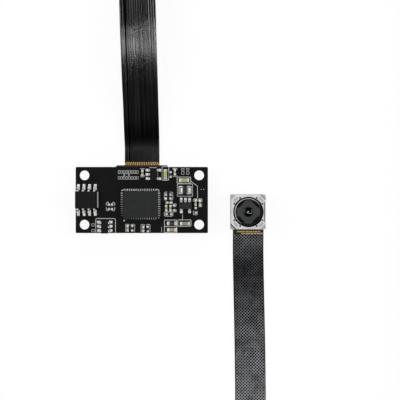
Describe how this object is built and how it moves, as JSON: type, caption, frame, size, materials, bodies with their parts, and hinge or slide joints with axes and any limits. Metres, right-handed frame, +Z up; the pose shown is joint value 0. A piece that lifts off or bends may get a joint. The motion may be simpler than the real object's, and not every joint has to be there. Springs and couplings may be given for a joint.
{
  "type": "camera module",
  "caption": "Autofocus camera head on a long flat flexible circuit, joined to a small rectangular control board with mounting holes and a wire header underneath.",
  "frame": {"origin": "centre of the board's four mounting holes, on the board's underside", "axes": "+X along the board, from the memory chip's end towards the lens head; +Y across the board, towards the flexible circuit's connector; +Z up, out of the board's component side and along the lens axis"},
  "size_m": [0.0814, 0.1803, 0.0085],
  "materials": {
    "solder_mask": "satin black mask",
    "solder": "bright tin",
    "grey_package": "fine matte mould compound",
    "black_package": "matte mould compound",
    "ferrite": "fine grain",
    "olive_ceramic": "fired ceramic",
    "brown_ceramic": "fired ceramic",
    "resistor_glaze": "dark glaze",
    "pale_ceramic": "pale ceramic",
    "bright_lid": "bright metal",
    "black_plastic": "moulded",
    "cream_plastic": "moulded",
    "gold_plate": "gold plate",
    "flex_black": "glossy coverlay",
    "steel_plate": "rolled steel",
    "can_metal": "satin nickel",
    "silicon": "polished die under glass",
    "filter_glass": "coated glass",
    "lens_glass": "coated moulded lens",
    "barrel_black": "moulded, fine satin",
    "head_base": "moulded light grey",
    "magnet": "nickel plate",
    "copper_wire": "enamelled wire",
    "spring_copper": "etched leaf"
  },
  "bodies": {
    "module": {"circuit_board": "solder_mask", "solder_pads": "solder", "processor_body": "grey_package", "processor_contacts": "solder", "memory_body": "black_package", "memory_leads": "solder", "switch_body": "black_package", "switch_leads": "solder", "converter_body": "black_package", "converter_leads": "solder", "regulator_body": "grey_package", "regulator_leads": "solder", "inductor_core": "ferrite", "inductor_terminals": "solder", "large_capacitors": "olive_ceramic", "brown_capacitor": "brown_ceramic", "large_resistor": "resistor_glaze", "large_chip_ends": "solder", "small_capacitors": "olive_ceramic", "small_capacitor_ends": "solder", "small_resistors": "resistor_glaze", "small_resistor_ends": "solder", "crystal_base": "pale_ceramic", "crystal_lid": "bright_lid", "flex_connector_housing": "black_plastic", "flex_connector_latch": "grey_package", "flex_connector_contacts": "gold_plate", "flex_connector_tabs": "solder", "header_housing": "cream_plastic", "header_contacts": "gold_plate", "header_tabs": "solder", "flex_board_end": "gold_plate", "flex_cable": "flex_black", "flex_head_end": "gold_plate", "head_stiffener": "steel_plate", "image_sensor": "silicon", "sensor_holder": "black_plastic", "infrared_filter": "filter_glass", "focus_driver": "black_package", "head_capacitors": "olive_ceramic", "actuator_base": "head_base", "lower_spring": "spring_copper", "magnets": "magnet", "spacer_frame": "black_plastic", "upper_spring": "spring_copper", "yoke_can": "can_metal"},
    "lens_unit": {"focus_coil": "copper_wire", "lens_carrier": "black_plastic", "carrier_ring": "can_metal", "lens_barrel": "barrel_black", "front_lens": "lens_glass", "middle_lens": "lens_glass", "rear_lens": "lens_glass", "lens_spacers": "barrel_black", "lens_retainer": "barrel_black"}
  },
  "joints": [
    {"name": "lens_focus", "type": "slide", "parent": "module", "child": "lens_unit", "axis": [0, 0, 1], "range_m": [0, 0.0003], "stiffness_N_per_m": 40, "deforming": ["upper_spring", "lower_spring"]}
  ]
}
